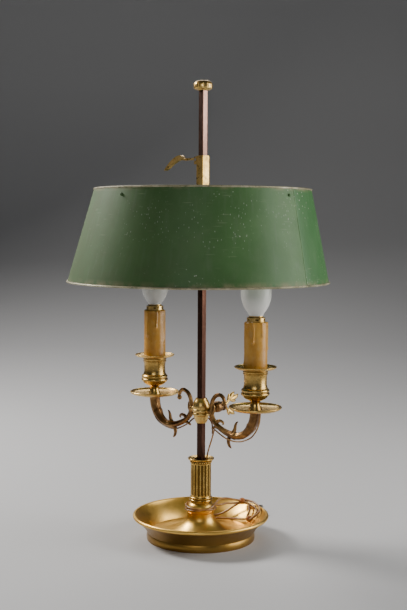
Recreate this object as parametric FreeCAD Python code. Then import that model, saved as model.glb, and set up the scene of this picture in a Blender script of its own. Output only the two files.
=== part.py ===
import FreeCAD, Part
import math
import os

V = FreeCAD.Vector
os.makedirs("parts", exist_ok=True)

# ---------------------------------------------------------------------------
# Two-light table lamp with an adjustable sheet-metal shade on a square rod.
# Millimetres, +Z up, origin on the table under the rod.
# +X runs along the arm whose candle comes towards the viewer, +Y along the
# clamp key.
# ---------------------------------------------------------------------------

# driving dimensions
ROD = 7.6                # square rod across flats
ROD_TOP = 532.0
BORE = 8.1               # square bore that slides on the rod
ARM_R = 80.0             # rod axis to the left candle's axis
ARM_OUT = 4.5            # the right arm reaches this much further out
LIFT = 3.4               # candelabra, shade and finial stand this much above their drawn heights
LEAN = 0.0462            # the old shade leans: sideways shift per mm of height
LEAN_Z = 405.8           # height at which the shade is centred on the rod
SHADE_Z0 = 306.4
SHADE_Z1 = 416.7
SHADE_R0 = 155.0         # inside the bottom rim
SHADE_R1 = 128.0
SHADE_T = 0.8
KEY_Z = 153.0
CORD_D = 2.6             # supply flex
FLEX_D = 2.0             # arm flex
VIEW = math.radians(43.0)
EL = V(math.cos(VIEW), math.sin(VIEW), 0)      # to the right of the front view
EV = V(-math.sin(VIEW), math.cos(VIEW), 0)     # away from the front view


def P(lat, dep, z):
    return EL * lat + EV * dep + V(0, 0, z)


LIFTED = ("finial", "knop", "arm_left", "arm_right", "clamp_screw", "key_boss", "key_wing", "shade_", "spider", "lever_pin",
          "lever_spring", "catch_lever", "drip_pan_", "candle_cup_", "upper_pan_", "candle_tube_", "nipple_", "lampholder_",
          "holder_insulator_", "bulb_cap_", "bulb_glass_", "filament_stem_", "arm_wire_")


def lean_at(z):
    return EL * (LEAN * (z - LEAN_Z))


def skew_ring(r, z):
    """Closed smooth ring of radius r at height z, centred where the leaning shade is."""
    o = lean_at(z)
    n = 72
    c = Part.BSplineCurve()
    c.interpolate(Points=[V(o.x + r * math.cos(2 * math.pi * i / n), o.y + r * math.sin(2 * math.pi * i / n), z) for i in range(n)],
                  PeriodicFlag=True)
    return Part.Wire([c.toShape()])


def skew_shell(r0, r1, z0, z1, t):
    """Leaning cone of sheet: outside radii r0 below and r1 above, t thick."""
    ob, ot, ib, it = skew_ring(r0, z0), skew_ring(r1, z1), skew_ring(r0 - t, z0), skew_ring(r1 - t, z1)
    out = Part.makeLoft([ob, ot], True, True)
    inn = Part.makeLoft([skew_ring(r0 - t, z0), skew_ring(r1 - t, z1)], True, True)
    body = out.cut(inn)
    body = body.Solids[0]
    if body.Volume < 0:
        body.reverse()
    return body


def save(shape, name):
    if name.startswith(LIFTED):
        shape.translate(V(0, 0, LIFT))
    if shape.ShapeType == "Compound" and len(shape.Solids) == 1:
        shape = shape.Solids[0]
    ok = shape.isValid() and len(shape.Solids) >= 1 and shape.Volume > 0
    print("%-22s solids %d vol %9.1f valid %s" % (name, len(shape.Solids), shape.Volume, ok))
    shape.exportStep("parts/%s.step" % name)
    return shape


def rev(segs, cx=0.0, cy=0.0):
    """Solid of revolution about the vertical through (cx, cy).
    segs is a list of ('L'|'S', [(r, z), ...]); each starts where the last ended."""
    edges = []
    first = None
    last = None
    for kind, pts in segs:
        q = [V(cx + r, cy, z) for r, z in pts]
        if last is not None:
            q = [last] + q
        if first is None:
            first = q[0]
        if kind == "L" or len(q) < 3:
            for a, b in zip(q[:-1], q[1:]):
                edges.append(Part.makeLine(a, b))
        else:
            c = Part.BSplineCurve()
            c.interpolate(q)
            edges.append(c.toShape())
        last = q[-1]
    if (last - first).Length > 1e-6:
        edges.append(Part.makeLine(last, first))
    f = Part.Face(Part.Wire(edges))
    s = f.revolve(V(cx, cy, 0), V(0, 0, 1), 360)
    if s.ShapeType != "Solid":
        s = Part.Solid(s) if s.ShapeType == "Shell" else s.Solids[0]
    if s.Volume < 0:
        s.reverse()
    return s


def box(x0, x1, y0, y1, z0, z1):
    return Part.makeBox(x1 - x0, y1 - y0, z1 - z0, V(x0, y0, z0))


def cyl(r, h, base, d=V(0, 0, 1)):
    return Part.makeCylinder(r, h, base, d)


def chain(pts, radii):
    """Round-jointed tapering limb through the points."""
    out = None
    for i in range(len(pts)):
        b = Part.makeSphere(radii[i], pts[i])
        out = b if out is None else out.fuse(b)
        if i:
            d = pts[i] - pts[i - 1]
            if abs(radii[i] - radii[i - 1]) < 1e-3:
                c = Part.makeCylinder(radii[i], d.Length, pts[i - 1], d)
            else:
                c = Part.makeCone(radii[i - 1], radii[i], d.Length, pts[i - 1], d)
            out = out.fuse(c)
    return out


def tube(pts, d, name=""):
    """Round cord: straight runs joined by tangent arcs."""
    n = len(pts)
    edges = []
    cur = pts[0]
    radii = []
    length = 0.0
    for i in range(1, n - 1):
        a, b, c = pts[i - 1], pts[i], pts[i + 1]
        u = (b - a)
        v = (c - b)
        lu, lv = u.Length, v.Length
        u = u / lu
        v = v / lv
        turn = math.acos(max(-1, min(1, u.dot(v))))
        r = 0.45 * min(lu, lv) / math.tan(turn / 2)
        radii.append(round(r, 1))
        t = 0.45 * min(lu, lv)
        p1 = b - u * t
        p2 = b + v * t
        m = (v - u)
        m = m / m.Length
        mid = b + m * (r / math.cos(turn / 2) - r)
        edges.append(Part.LineSegment(cur, p1).toShape())
        edges.append(Part.Arc(p1, mid, p2).toShape())
        length += (p1 - cur).Length + r * turn
        cur = p2
    edges.append(Part.LineSegment(cur, pts[-1]).toShape())
    length += (pts[-1] - cur).Length
    w = Part.Wire(edges)
    d0 = (pts[1] - pts[0])
    prof = Part.Wire(Part.makeCircle(d / 2.0, pts[0], d0))
    s = w.makePipeShell([prof], True, False, 2)
    if s.Volume < 0:
        s.reverse()
    want = math.pi * d * d / 4 * length
    print("   tube %s length %.1f vol ratio %.4f radii %s" % (name, length, s.Volume / want, radii))
    return s, length


# ---------------------------------------------------------------------------
# stand: dish, column, flange, pearl ring, rod with nut and washer, finial
# ---------------------------------------------------------------------------
dish = rev([
    ("L", [(58.5, 0.0), (64.9, 0.0)]),
    ("S", [(65.3, 2.5), (65.2, 5.5), (64.4, 8.6)]),
    ("S", [(66.0, 11.6), (68.6, 15.3), (72.0, 19.2), (75.6, 22.6), (78.8, 25.2)]),
    ("L", [(80.7, 25.9)]),
    ("S", [(81.8, 26.8), (82.1, 28.1), (81.5, 29.4), (80.2, 30.0), (78.8, 29.7), (77.9, 28.6)]),
    ("S", [(75.9, 26.0), (72.4, 22.4), (68.2, 18.0), (64.2, 13.0), (61.4, 8.2)]),
    ("L", [(44.0, 8.0)]),
    ("S", [(39.5, 8.7), (32.6, 11.0), (28.0, 13.7), (23.2, 17.2), (19.4, 20.8), (17.0, 24.6), (16.1, 28.4), (15.9, 31.6)]),
    ("S", [(16.6, 33.6), (16.8, 36.4), (16.0, 40.0), (14.4, 42.4), (12.4, 44.0)]),
    ("L", [(4.3, 44.0), (4.3, 40.4), (11.0, 40.4)]),
    ("S", [(12.6, 38.0), (12.8, 31.0), (13.8, 24.6), (16.6, 19.4), (20.6, 15.0), (26.0, 11.2), (31.6, 8.2), (38.0, 6.0)]),
    ("L", [(44.0, 5.4), (58.5, 5.4)]),
])
save(dish, "base_dish")

col = rev([
    ("L", [(8.5, 44.0), (12.2, 44.0), (12.2, 45.4)]),
    ("S", [(13.6, 46.1), (14.0, 47.1), (13.6, 48.1), (12.8, 48.5)]),
    ("L", [(12.8, 48.8)]),
    ("S", [(13.4, 49.4), (13.6, 50.2), (13.2, 51.0), (12.5, 51.4)]),
    ("L", [(12.3, 52.0), (12.3, 91.6), (8.5, 91.6)]),
])
flutes = None
NF = 18
for i in range(NF):
    a = 2 * math.pi * i / NF
    c = V(13.0 * math.cos(a), 13.0 * math.sin(a), 0)
    f = cyl(1.65, 35.0, c + V(0, 0, 54.5))
    f = f.fuse(Part.makeSphere(1.65, c + V(0, 0, 54.5))).fuse(Part.makeSphere(1.65, c + V(0, 0, 89.5)))
    col = col.cut(f)
# cord bush hole through the lower rings, at the back
GA = math.radians(95.0)
GD = V(math.cos(GA), math.sin(GA), 0)
GZ = 48.6
col = col.cut(cyl(2.25, 12, GD * 7 + V(0, 0, GZ), GD))
save(col, "column")

beads = rev([
    ("L", [(8.5, 91.6), (12.6, 91.6), (12.6, 92.0), (12.0, 92.3), (12.0, 94.3), (12.7, 94.6), (12.7, 95.0), (8.5, 95.0)]),
])
for i in range(30):
    a = 2 * math.pi * (i + 0.5) / 30
    beads = beads.fuse(Part.makeSphere(1.05, V(12.35 * math.cos(a), 12.35 * math.sin(a), 93.3)))
save(beads, "pearl_ring")

flange = rev([
    ("L", [(8.5, 95.0), (13.2, 95.0)]),
    ("S", [(14.8, 95.7), (15.8, 96.7), (15.9, 97.6), (15.3, 98.2)]),
    ("S", [(13.6, 97.7), (11.5, 97.1), (9.4, 96.8)]),
    ("L", [(8.5, 96.8)]),
])
save(flange, "column_flange")

bush = cyl(2.2, 7.6, GD * 8.2 + V(0, 0, GZ), GD).fuse(cyl(3.1, 1.6, GD * 14.1 + V(0, 0, GZ), GD))
bush = bush.cut(cyl(1.36, 20, GD * 5 + V(0, 0, GZ), GD))
save(bush, "cord_bush")

h = ROD / 2
rod = box(-h, h, -h, h, 44.0, ROD_TOP + LIFT)
rod = rod.makeChamfer(0.5, [e for e in rod.Edges if abs(e.Length - (ROD_TOP + LIFT - 44)) < 0.01])
rod = rod.fuse(cyl(3.9, 20.0, V(0, 0, 24.0))).fuse(cyl(2.4, 6.0, V(0, 0, ROD_TOP + LIFT)))
save(rod, "square_rod")

wash = cyl(8.5, 1.4, V(0, 0, 39.0)).cut(cyl(4.1, 4, V(0, 0, 38)))
save(wash, "rod_washer")
pts = [V(7.5 * math.cos(math.radians(60 * i)), 7.5 * math.sin(math.radians(60 * i)), 32.4) for i in range(7)]
nut = Part.Face(Part.makePolygon(pts)).extrude(V(0, 0, 6.6)).cut(cyl(3.98, 10, V(0, 0, 31)))
save(nut, "rod_nut")

fin = rev([
    ("L", [(0, 532.0), (5.6, 532.0)]),
    ("S", [(6.4, 533.0), (7.6, 533.6), (9.6, 533.3)]),
    ("S", [(10.8, 534.6), (11.1, 537.4), (10.4, 540.4), (8.6, 542.4), (5.0, 543.4), (0, 543.8)]),
])
for i in range(12):
    a = 2 * math.pi * (i + 0.5) / 12
    fin = fin.cut(cyl(1.3, 16, V(11.9 * math.cos(a), 11.9 * math.sin(a), 530)))
fin = fin.cut(cyl(2.45, 6.3, V(0, 0, 532)))
save(fin, "finial")

# ---------------------------------------------------------------------------
# candelabra: knop, arms, pans, cups, candles, lampholders, bulbs
# ---------------------------------------------------------------------------
knop = rev([
    ("L", [(0, 137.2), (6.2, 137.2)]),
    ("S", [(7.0, 139.0), (8.3, 142.6), (9.0, 145.6)]),
    ("L", [(9.7, 146.2)]),
    ("S", [(10.2, 147.4), (10.2, 148.4), (9.7, 149.4)]),
    ("L", [(9.6, 150.0), (10.3, 150.5)]),
    ("S", [(10.8, 151.6), (10.8, 152.8), (10.4, 153.8)]),
    ("L", [(10.0, 154.2)]),
    ("S", [(10.4, 156.2), (10.1, 159.4), (9.1, 162.6), (7.6, 165.2), (6.6, 167.2)]),
    ("L", [(0, 167.2)]),
])
lug = cyl(5.2, 12.0, V(0, 7.0, KEY_Z), V(0, 1, 0))
knop = knop.fuse(lug)
for s in (1, -1):
    knop = knop.fuse(cyl(3.4, 6.0, V(s * 7.0, 0, KEY_Z), V(s, 0, 0)))
knop = knop.cut(box(-BORE / 2, BORE / 2, -BORE / 2, BORE / 2, 130, 175))
knop = knop.cut(cyl(2.65, 20, V(0, 0, KEY_Z), V(0, 1, 0)))
for s in (1, -1):
    knop = knop.cut(cyl(2.0, 6.0, V(s * 9.0, 0, KEY_Z), V(s, 0, 0)))
save(knop, "knop")

arm_line = [(37.2, 166.9, 1.9), (34.4, 171.9, 2.15), (29.4, 174.1, 2.3), (22.9, 171.7, 2.35), (18.1, 165.0, 2.35),
            (16.4, 155.0, 2.45), (18.6, 145.6, 2.65), (24.2, 138.7, 2.9), (32.2, 134.0, 3.2), (42.2, 130.3, 3.6),
            (54.0, 128.6, 3.9), (63.8, 131.2, 4.3), (71.2, 137.4, 4.9), (76.7, 146.2, 5.6), (79.6, 155.0, 6.2),
            (80.0, 161.6, 6.6)]
up_leaf = [(49.8, 131.5, 2.6), (52.6, 136.6, 1.9), (53.2, 141.6, 1.5), (54.4, 144.2, 1.2)]
dn_leaf = [(46.6, 128.5, 2.8), (43.4, 124.6, 2.2), (43.6, 119.2, 1.9), (45.6, 114.4, 1.5)]
bud = [(29.4, 134.6, 2.0), (23.4, 134.4, 1.5), (18.4, 133.6, 1.9)]
leaf = [(24.0, 140.0, 2.4), (29.6, 143.2, 1.9), (34.6, 141.4, 1.3)]
branch = [(22.6, 139.4, 2.2), (17.6, 143.2, 1.9), (14.2, 147.0, 1.5)]
curl = [(37.4, 167.4, 1.9), (36.4, 163.8, 2.9)]


def reach(s, t):
    """Stretches the right arm outwards beyond its scroll."""
    return t + (ARM_OUT * min(1.0, max(0.0, (t - 30.0) / 50.0)) if s > 0 else 0.0)


def make_arm(s):
    wires = []
    n = len(arm_line)
    line = [(reach(s, t), z, r) for t, z, r in arm_line]
    for i, (t, z, r) in enumerate(line):
        a = line[max(0, i - 1)]
        b = line[min(n - 1, i + 1)]
        d = V(s * (b[0] - a[0]), 0, b[1] - a[1])
        if i == n - 1:
            d = V(0, 0, 1)
        wires.append(Part.Wire(Part.makeCircle(r, V(s * t, 0, z), d)))
    arm = Part.makeLoft(wires, True, False)
    if arm.Volume < 0:
        arm.reverse()
    for group in (up_leaf, dn_leaf, bud, leaf, branch, curl):
        arm = arm.fuse(chain([V(s * reach(s, t), 0, z) for t, z, r in group], [r for t, z, r in group]))
    arm = arm.fuse(cyl(3.4, 3.6, V(s * 13.2, 0, KEY_Z), V(s, 0, 0)))
    arm = arm.fuse(cyl(1.9, 5.0, V(s * 9.4, 0, KEY_Z), V(s, 0, 0)))
    arm = arm.cut(cyl(4.05, 12, V(s * reach(s, ARM_R), 0, 151.6)))
    arm = arm.cut(cyl(30, 12, V(s * reach(s, ARM_R), 0, 161.6)))
    return arm


for s, side in ((1, "right"), (-1, "left")):
    cx = s * reach(s, ARM_R)
    up = 0.0 if s > 0 else 4.4           # the left candle is longer
    save(make_arm(s), "arm_" + side)
    pan = rev([
        ("L", [(4.1, 161.7), (12.0, 161.7)]),
        ("S", [(20.0, 162.0), (26.0, 162.9), (29.2, 164.3)]),
        ("S", [(30.4, 165.6), (30.6, 166.6), (29.9, 167.2), (29.1, 166.6)]),
        ("S", [(28.2, 165.6), (25.0, 164.4), (19.0, 163.6), (12.0, 163.3)]),
        ("L", [(4.1, 163.3)]),
    ], cx)
    save(pan, "drip_pan_" + side)
    cup = rev([
        ("L", [(4.1, 163.4), (7.8, 163.4)]),
        ("S", [(6.9, 165.6), (5.8, 168.6), (5.4, 171.0), (5.7, 172.6)]),
        ("S", [(7.6, 174.2), (10.9, 175.8), (13.6, 177.8), (15.0, 179.6)]),
        ("S", [(16.2, 180.6), (16.6, 181.9), (16.1, 183.2), (15.3, 183.7)]),
        ("L", [(15.3, 184.1)]),
        ("S", [(16.0, 184.9), (16.2, 186.0), (15.4, 187.4), (14.2, 188.4)]),
        ("S", [(13.5, 191.0), (13.2, 196.0), (13.4, 201.0), (13.9, 204.0)]),
        ("L", [(14.4, 204.5), (14.5, 205.3), (14.0, 205.8), (14.2, 206.3), (14.5, 207.4), (14.1, 208.4)]),
        ("L", [(14.1, 209.4), (4.1, 209.4)]),
    ], cx)
    save(cup, "candle_cup_" + side)
    upan = rev([
        ("L", [(4.1, 209.5), (14.0, 209.5)]),
        ("S", [(18.6, 209.8), (21.8, 210.5), (23.5, 211.5)]),
        ("S", [(24.3, 212.4), (24.4, 213.1), (23.7, 213.4), (23.0, 212.9)]),
        ("S", [(21.4, 211.9), (18.0, 211.2), (14.0, 210.9)]),
        ("L", [(4.1, 210.9)]),
    ], cx)
    save(upan, "upper_pan_" + side)
    tubec = rev([
        ("L", [(10.9, 211.0), (13.4, 211.0)]),
        ("S", [(13.5, 218.0), (13.5, 230.0), (13.4, 245.0), (13.3, 258.0 + up), (13.2, 263.0 + up)]),
        ("L", [(12.2, 264.4 + up), (10.9, 264.4 + up)]),
    ], cx)
    save(tubec, "candle_tube_" + side)
    nip = rev([("L", [(2.7, 152.4), (3.95, 152.4), (3.95, 224.0), (2.7, 224.0)])], cx)
    save(nip, "nipple_" + side)
    holder = rev([
        ("L", [(4.05, 212.6), (9.9, 212.6), (9.9, 262.0 + up), (10.5, 262.6 + up), (10.5, 269.4 + up), (9.5, 269.4 + up),
               (9.0, 262.4 + up), (9.0, 213.8), (4.05, 213.8)]),
    ], cx)
    for i in range(6):
        a = 2 * math.pi * i / 6 + 0.25
        holder = holder.cut(Part.makeBox(6, 3.0, 2.0, V(0, -1.5, 266.2 + up)).rotate(V(0, 0, 0), V(0, 0, 1), math.degrees(a)).translate(V(cx + 7.5 * math.cos(a), 7.5 * math.sin(a), 0)))
    save(holder, "lampholder_" + side)
    ins = rev([("L", [(4.2, 214.0), (8.85, 214.0), (8.85, 238.0), (0, 238.0), (0, 225.0), (4.2, 225.0)])], cx)
    save(ins, "holder_insulator_" + side)
    cap = rev([
        ("L", [(0, 241.6), (3.0, 241.6), (3.0, 243.0), (5.6, 246.0), (6.6, 247.0)]),
        ("S", [(6.9, 248.5), (6.5, 250.0), (6.9, 251.5), (6.5, 253.0), (6.9, 254.5), (6.5, 256.0), (6.9, 257.5), (6.5, 259.0), (6.9, 260.5), (6.5, 262.0)]),
        ("L", [(7.2, 263.0), (7.2, 269.6), (8.4, 270.4), (8.4, 271.4), (0, 271.4)]),
    ], cx)
    cap.translate(V(0, 0, up))
    save(cap, "bulb_cap_" + side)
    glass_out = [(9.4, 274.4), (12.2, 278.6), (15.2, 284.6), (17.0, 291.0), (17.5, 298.0), (16.8, 306.0),
                 (14.6, 315.5), (11.2, 325.0), (7.2, 333.6), (4.2, 339.0), (2.0, 342.2), (0, 343.2)]
    glass_in = [(1.7, 341.2), (3.6, 338.2), (6.5, 332.8), (10.4, 324.6), (13.8, 315.1), (16.0, 305.8),
                (16.7, 298.0), (16.2, 291.2), (14.5, 285.0), (11.5, 279.0), (8.7, 274.7)]
    bulb = rev([
        ("L", [(7.6, 271.5), (8.3, 271.5)]),
        ("S", glass_out),
        ("L", [(0, 342.3)]),
        ("S", glass_in + [(7.6, 271.5)]),
    ], cx)
    bulb.translate(V(0, 0, up))
    save(bulb, "bulb_glass_" + side)
    stem = cyl(2.2, 14.0, V(cx, 0, 271.5)).fuse(cyl(0.9, 14, V(cx, 0, 285.4)))
    stem = stem.fuse(cyl(0.45, 12, V(cx - 5.0, 0, 299.0), V(1, 0, 0)))
    stem = stem.fuse(chain([V(cx, 0, 285), V(cx - 5, 0, 299)], [0.45, 0.45])).fuse(chain([V(cx, 0, 285), V(cx + 6.5, 0, 299)], [0.45, 0.45]))
    stem.translate(V(0, 0, up))
    save(stem, "filament_stem_" + side)

# clamp key: screw, boss, ring, leaf wings (turns about +Y)
Y1 = V(0, 1, 0)
screw = cyl(2.5, 18.4, V(0, 4.3, KEY_Z), Y1)
save(screw, "clamp_screw")


def rev_y(pts, z):
    q = [V(r, t, 0) for r, t in pts]
    w = Part.makePolygon(q + [q[0]])
    s = Part.Face(w).revolve(V(0, 0, 0), V(0, 1, 0), 360)
    if s.Volume < 0:
        s.reverse()
    s.translate(V(0, 0, z))
    return s


boss = rev_y([(0, 22.7), (4.0, 22.7), (5.6, 23.6), (6.6, 25.6), (7.0, 28.4), (6.8, 31.4), (5.8, 34.2), (4.4, 35.8),
              (4.4, 36.4), (5.4, 36.8), (5.9, 37.8), (5.9, 39.4), (5.2, 40.4), (3.2, 41.0), (2.6, 43.0), (0, 43.0)], KEY_Z)
save(boss, "key_boss")
wing_pts = [(41.5, -2.2), (44.0, -4.0), (47.0, -8.6), (51.5, -12.6), (57.5, -13.4), (61.6, -10.2), (61.0, -6.2),
            (57.0, -4.0), (54.0, -1.0), (56.0, 2.0), (62.0, 3.4), (66.6, 7.0), (67.0, 12.0), (62.6, 15.6),
            (55.6, 15.4), (50.0, 12.4), (46.6, 8.0), (44.0, 3.6), (41.5, 2.2)]
wp = [V(0, t, KEY_Z + z) for t, z in wing_pts]
c = Part.BSplineCurve()
c.interpolate(wp, PeriodicFlag=False)
wf = Part.Face(Part.Wire([c.toShape(), Part.makeLine(wp[-1], wp[0])]))
wing = wf.extrude(V(3.6, 0, 0))
wing.translate(V(-1.8, 0, 0))
if wing.Volume < 0:
    wing.reverse()
for t, z, r in ((54.0, -9.0, 3.0), (59.5, 10.2, 3.6)):
    wing = wing.fuse(Part.makeSphere(r, V(0, t, KEY_Z + z)))
wing = wing.cut(Part.makeBox(20, 12, 50, V(-10, 31.0, KEY_Z - 25)))
save(wing, "key_wing")

# ---------------------------------------------------------------------------
# shade carriage: sleeve, spider, shade, rims, rivets, lever pin and spring
# ---------------------------------------------------------------------------
SLEEVE_Z0, SLEEVE_Z1 = 388.0, 456.0
so = 5.25
sleeve = box(-so, so, -so, so, SLEEVE_Z0, SLEEVE_Z1).cut(box(-BORE / 2, BORE / 2, -BORE / 2, BORE / 2, 380, 460))
for y in (-3.9, 2.5):
    ear = box(-10.6, -so, y, y + 1.4, 446.0, 455.0)
    ear = ear.fuse(cyl(0.1, 0.1, V(-8, y, 451), Y1))
    sleeve = sleeve.fuse(ear)
sleeve = sleeve.cut(box(-5.6, -3.9, -2.5, 2.5, 445.0, 457.0))
sleeve = sleeve.cut(cyl(1.12, 12, V(-8.4, -6, 451.6), Y1))
save(sleeve, "shade_sleeve")
pin = cyl(1.05, 8.4, V(-8.4, -4.2, 451.6), Y1)
pin = pin.fuse(cyl(1.7, 0.7, V(-8.4, -4.7, 451.6), Y1)).fuse(cyl(1.7, 0.7, V(-8.4, 4.0, 451.6), Y1))
save(pin, "lever_pin")
spring = None
for y in (1.15, 1.75):
    t = Part.makeTorus(1.8, 0.25, V(-8.4, y, 451.6), Y1)
    spring = t if spring is None else spring.fuse(t)
spring = spring.fuse(box(-10.35, -10.05, 0.95, 2.0, 447.0, 451.6)).fuse(box(-10.35, -10.05, 0.95, 2.0, 451.4, 451.8))
spring = spring.fuse(box(-10.2, -6.3, 0.95, 1.3, 446.8, 447.1))
spring = spring.fuse(cyl(2.05, 0.9, V(-8.4, 1.0, 451.6), Y1).cut(cyl(1.35, 3, V(-8.4, 0, 451.6), Y1)))
save(spring, "lever_spring")

lever = cyl(3.0, 2.8, V(-8.4, -2.2, 451.6), Y1)
lever = lever.fuse(box(-8.4, -4.35, -2.2, 0.6, 449.6, 453.4))
lever = lever.fuse(box(-27.0, -8.4, -2.2, 0.6, 451.2, 453.8))
blade = [(-24.0, 452.6), (-27.0, 453.2), (-30.5, 455.6), (-34.0, 457.6), (-39.5, 457.2), (-46.0, 454.4), (-52.5, 450.0),
         (-58.0, 445.0), (-61.8, 440.2), (-57.4, 441.2), (-51.6, 444.8), (-45.0, 448.6), (-38.0, 451.2), (-32.0, 451.8),
         (-28.0, 451.2), (-24.0, 451.2)]
bp = [V(x, 0, z) for x, z in blade]
c = Part.BSplineCurve()
c.interpolate(bp)
bf = Part.Face(Part.Wire([c.toShape(), Part.makeLine(bp[-1], bp[0])]))
bl = bf.extrude(V(0, 4.4, 0))
bl.translate(V(0, -2.9, 0))
if bl.Volume < 0:
    bl.reverse()
lever = lever.fuse(bl)
lever = lever.cut(cyl(1.12, 12, V(-8.4, -6, 451.6), Y1))
save(lever, "catch_lever")


def shade_r(z, base):
    return base + (SHADE_R1 - SHADE_R0) * (z - SHADE_Z0) / (SHADE_Z1 - SHADE_Z0)


zb, zt = SHADE_Z0 + 2.2, SHADE_Z1 - 2.0
sheet = skew_shell(shade_r(zb, SHADE_R0), shade_r(zt, SHADE_R0), zb, zt, SHADE_T)
save(sheet.copy(), "shade_body")
rb = shade_r(SHADE_Z0, SHADE_R0)
rt = shade_r(SHADE_Z1, SHADE_R0)
rim_b = rev([("L", [(rb - 1.5, 306.4), (rb - 0.2, 306.2), (rb + 0.8, 306.6), (rb + 1.2, 307.5), (rb + 0.7, 308.4),
                    (rb - 0.5, 308.6), (rb - 1.5, 308.6)])])
rim_b.translate(lean_at(308.6))
save(rim_b, "shade_bottom_rim")
rim_t = rev([("L", [(rt - 1.3, 414.7), (rt + 0.6, 414.7), (rt + 1.1, 415.6), (rt + 0.9, 416.4), (rt, 416.9),
                    (rt - 0.9, 416.6), (rt - 1.3, 415.8)])])
rim_t.translate(lean_at(414.7))
save(rim_t, "shade_top_rim")

SPZ = 404.0
hub = box(-8.0, 8.0, -8.0, 8.0, SPZ - 3, SPZ + 5).cut(box(-so - 0.02, so + 0.02, -so - 0.02, so + 0.02, 390, 420))
spider = hub
rin = shade_r(SPZ, SHADE_R0) - SHADE_T - 0.35
for k in range(4):
    bar = box(7.5, rin - 1.6, -3.5, 3.5, SPZ - 0.9, SPZ + 0.7)
    tab = box(rin - 3.0, rin - 1.6, -3.5, 3.5, SPZ - 0.9, SPZ + 6.0)
    b = bar.fuse(tab)
    b.rotate(V(0, 0, 0), V(0, 0, 1), 90 * k)
    spider = spider.fuse(b)
save(spider.removeSplitter(), "spider")
riv = []
core = rev([("L", [(shade_r(zb, SHADE_R0) + 0.1, zb), (shade_r(zt, SHADE_R0) + 0.1, zt), (60.0, zt), (60.0, zb)])])
for k in range(4):
    zc = SPZ + 3.6
    rr = shade_r(zc, SHADE_R0)
    r = cyl(1.2, 3.6, V(rr - 3.4, 0, zc), V(1, 0, 0)).fuse(Part.makeSphere(1.8, V(rr + 0.1, 0, zc)))
    r = r.cut(core).Solids[0]
    r.rotate(V(0, 0, 0), V(0, 0, 1), 90 * k)
    r.translate(lean_at(zc))
    riv.append(r)
save(Part.makeCompound(riv), "shade_rivets")

# ---------------------------------------------------------------------------
# wiring
# ---------------------------------------------------------------------------
total = 0.0
wire_t = [(88.6, 160.4), (88.2, 150.0), (83.6, 139.0), (76.0, 129.6), (65.0, 124.2), (54.0, 122.4), (43.0, 123.8), (33.6, 127.8), (24.6, 132.8)]
for s, side in ((1, "right"), (-1, "left")):
    yy = -3.4 * s
    pts = [V(s * reach(s, t), yy * (1.0 if t < 70 else 0.4), z) for t, z in wire_t]
    if s < 0:
        pts += [V(-20.6, 5.4, 137.6), V(-15.0, 8.6, 142.4), V(-8.0, 11.6, 143.6), V(0.0, 12.8, 141.6),
                V(7.6, 10.6, 137.0), V(13.4, 5.8, 131.0), V(15.6, 2.8, 125.6)]
    t, ln = tube(pts, 1.8, "arm_wire_" + side)
    save(t, "arm_wire_" + side)

flex_pts = [V(24.4, -3.4, 132.4 + LIFT), V(19.6, -1.4, 125.6), V(13.6, 1.6, 116.4), V(9.2, 2.4, 106.6), V(6.7, 2.6, 97.0), V(6.3, 2.6, 88.0), V(6.3, 2.6, 80.0)]
t, ln = tube(flex_pts, FLEX_D, "arm_flex")
save(t, "arm_flex")

a0 = math.atan2(2.6, 6.3)


def cp(deg, r, z):
    a = math.radians(deg)
    return V(r * math.cos(a), r * math.sin(a), z)


inner = [V(6.3, 2.6, 79.4), V(6.3, 2.6, 68.0), cp(32, 6.85, 60.0), cp(56, 6.9, 55.6), cp(78, 6.9, 51.8), cp(93, 7.0, 49.0)]
t, ln = tube(inner, FLEX_D, "column_wire")
save(t, "column_wire")

# supply flex: out of the bush, down to the neck, two turns, then the dish
WR = 18.6
wraps = rev([("L", [(WR - 1.7, 33.2), (WR + 1.7, 33.2), (WR + 1.7, 42.4), (WR - 1.7, 42.4)])])
save(wraps, "cord_wraps")


def bp_(alpha, r, z):
    a = math.radians(alpha)
    return P(r * math.cos(a), r * math.sin(a), z)


ex = [GD * 15.8 + V(0, 0, GZ), GD * 19.4 + V(0, 0, GZ - 0.4), bp_(66, 20.6, 46.0), bp_(84, 18.8, 42.6)]
t, ln = tube(ex, CORD_D, "cord_exit")
save(t, "cord_exit")

# strands from the neck to the tied loop, and the loop itself
run_a = [P(12.4, -13.8, 39.6), P(17.6, -4.0, 42.6), P(22.8, 10.0, 44.6), P(31.0, 24.0, 42.4), P(40.0, 38.0, 37.2), P(47.6, 46.4, 33.9)]
t, ln = tube(run_a, CORD_D, "run_a")
save(t, "cord_strand_upper")
run_b = [P(47.0, 45.4, 30.8), P(38.6, 39.4, 31.6), P(31.4, 33.0, 33.8), P(24.6, 27.0, 33.0), P(17.0, 22.4, 34.2), P(9.0, 19.4, 35.6)]
t, ln = tube(run_b, CORD_D, "run_b")
save(t, "cord_strand_lower")
loop_pts = [P(50.5, 49.0, 32.4), P(59.0, 44.6, 34.0), P(67.6, 36.0, 33.6), P(72.4, 25.0, 31.4), P(72.0, 13.0, 28.4),
            P(66.6, 14.0, 23.0), P(59.0, 17.0, 16.8), P(52.0, 29.0, 14.4), P(44.0, 37.6, 12.8), P(34.0, 43.6, 11.6),
            P(22.0, 46.8, 11.2), P(10.0, 45.0, 11.2), P(0.0, 43.8, 11.4), P(-6.4, 48.6, 11.6), P(-1.0, 54.8, 12.2),
            P(9.0, 55.6, 12.4), P(21.0, 53.6, 12.8), P(31.0, 51.6, 17.8), P(41.0, 50.4, 25.0)]
hank, ln = tube(loop_pts, 4.4, "hank")
save(hank, "cord_hank")

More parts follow.
